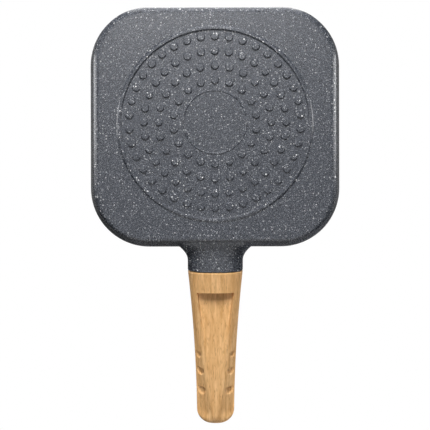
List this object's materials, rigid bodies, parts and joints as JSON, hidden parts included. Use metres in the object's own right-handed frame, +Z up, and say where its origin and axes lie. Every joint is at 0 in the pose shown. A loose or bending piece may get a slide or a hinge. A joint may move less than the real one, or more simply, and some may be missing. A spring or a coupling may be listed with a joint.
{
  "type": "divided frying pan",
  "caption": "Square divided frying pan with rounded corners, cast speckled body with studded base and a scooped wood handle on a rising neck, for cooking foods side by side.",
  "frame": {"origin": "under the middle of the whole length, on the plane that the foot ring and the studs rest on", "axes": "+Z up out of the cooking side, +Y from the handle's end towards the far edge of the pan, +X across"},
  "size_m": [0.1948, 0.3282, 0.0585],
  "materials": {
    "coat": "dark grey speckled non-stick coat on cast aluminium, satin",
    "wood": "fine straight light brown grain, satin oil",
    "steel": "plain zinc-bright steel"
  },
  "bodies": {
    "root": {"pan_body": "coat", "handle_grip": "wood", "end_plug": "wood", "thread_insert": "steel", "handle_screw": "steel", "flat_washer": "steel", "spring_washer": "steel"}
  },
  "joints": []
}
